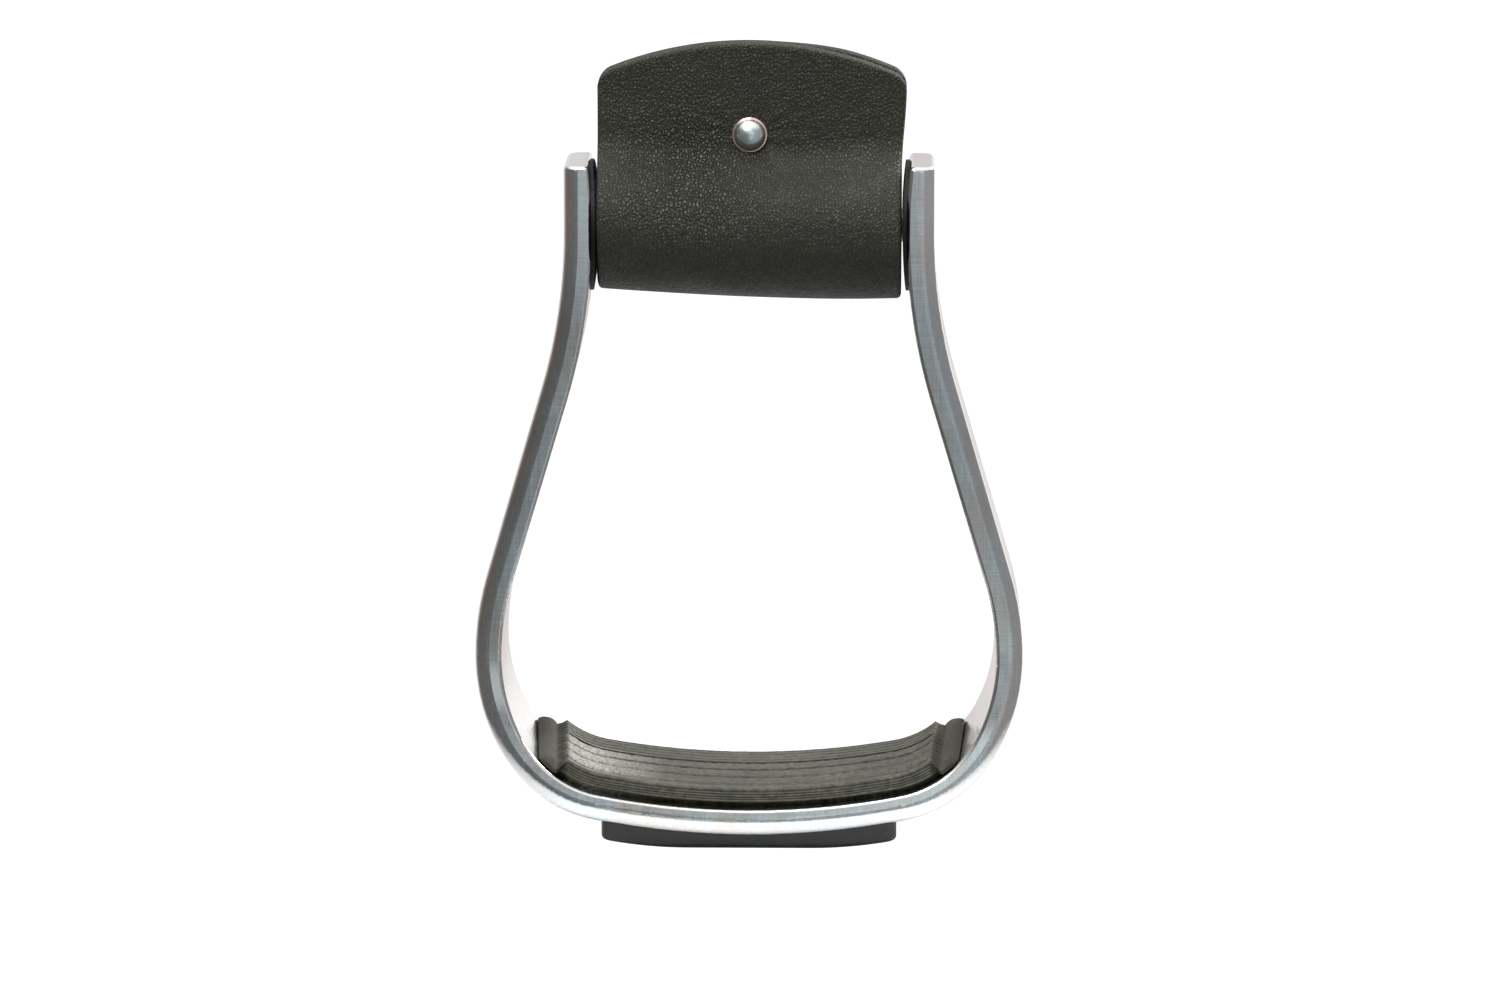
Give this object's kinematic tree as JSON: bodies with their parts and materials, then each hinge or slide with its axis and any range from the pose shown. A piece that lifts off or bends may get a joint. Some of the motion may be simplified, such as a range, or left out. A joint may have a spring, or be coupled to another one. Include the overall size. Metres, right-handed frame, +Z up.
{
  "type": "western stirrup",
  "caption": "Cast aluminium riding stirrup with a flared bow, a ribbed rubber tread and a leather-wrapped roller that turns on a bolt between the ears.",
  "frame": {"origin": "on the surface the stirrup stands on, under the middle of the keeper plate", "axes": "+X along the pivot bolt, +Y from the front of the stirrup to its back, +Z up"},
  "size_m": [0.134, 0.0508, 0.197],
  "materials": {
    "cast_aluminium": "polished casting, finely brushed",
    "bolt_steel": "zinc plated, satin",
    "nickel": "nickel plated, soft polish",
    "brass": "turned",
    "black_nylon": "matt",
    "white_nylon": "matt",
    "black_leather": "fine pebbled grain, semi-matt",
    "tread_rubber": "moulded, ribbed, matt",
    "black_plate": "moulded, satin"
  },
  "bodies": {
    "stirrup": {"stirrup_frame": "cast_aluminium", "pivot_bolt": "bolt_steel", "ear_washer_left": "black_nylon", "ear_washer_right": "black_nylon", "tread_pad": "tread_rubber", "keeper_plate": "black_plate", "tread_screw_front_left": "bolt_steel", "tread_screw_front_right": "bolt_steel", "tread_screw_rear_left": "bolt_steel", "tread_screw_rear_right": "bolt_steel", "pad_insert_front_left": "brass", "pad_insert_front_right": "brass", "pad_insert_rear_left": "brass", "pad_insert_rear_right": "brass"},
    "roller": {"roller_tube": "bolt_steel", "roller_bush_left": "white_nylon", "roller_bush_right": "white_nylon"},
    "wrap": {"leather_wrap": "black_leather", "rivet_cap": "nickel", "rivet_post": "nickel"}
  },
  "joints": [
    {"name": "roller_spin", "type": "hinge", "parent": "stirrup", "child": "roller", "pos_m": [0, 0, 0.152], "axis": [1, 0, 0], "continuous": true},
    {"name": "wrap_swing", "type": "hinge", "parent": "stirrup", "child": "wrap", "pos_m": [0, 0, 0.152], "axis": [1, 0, 0], "continuous": true}
  ]
}
